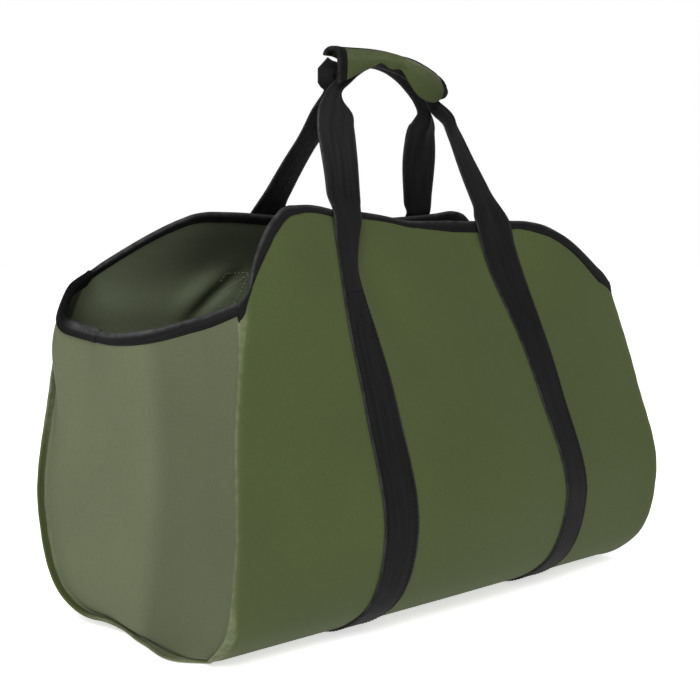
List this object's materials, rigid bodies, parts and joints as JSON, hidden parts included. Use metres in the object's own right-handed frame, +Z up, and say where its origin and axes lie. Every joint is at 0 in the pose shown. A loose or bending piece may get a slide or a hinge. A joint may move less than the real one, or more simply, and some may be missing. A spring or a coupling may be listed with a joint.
{
  "type": "log carrier",
  "caption": "Open-topped cloth log carrier with bulging panels, flared ends, black bound rims and webbing handles gathered in one wrapped grip.",
  "frame": {"origin": "on the floor, under the middle of the bag's bottom", "axes": "+X along the bag, +Y from the front panel to the back panel, +Z up"},
  "size_m": [0.6408, 0.3203, 0.5237],
  "materials": {
    "olive_cloth": "matte coated canvas, fine plain weave",
    "end_cloth": "matte coated canvas, fine plain weave",
    "binding_tape": "ribbed black tape",
    "webbing": "woven black webbing"
  },
  "bodies": {
    "root": {"sling_panel": "olive_cloth", "end_panel_left": "end_cloth", "end_panel_right": "end_cloth", "front_rim_binding": "binding_tape", "back_rim_binding": "binding_tape", "end_rim_binding_left": "binding_tape", "end_rim_binding_right": "binding_tape", "front_strap": "webbing", "back_strap": "webbing", "handle_grip": "olive_cloth", "grip_binding_left": "binding_tape", "grip_binding_right": "binding_tape", "grip_edge_binding": "binding_tape"}
  },
  "joints": []
}
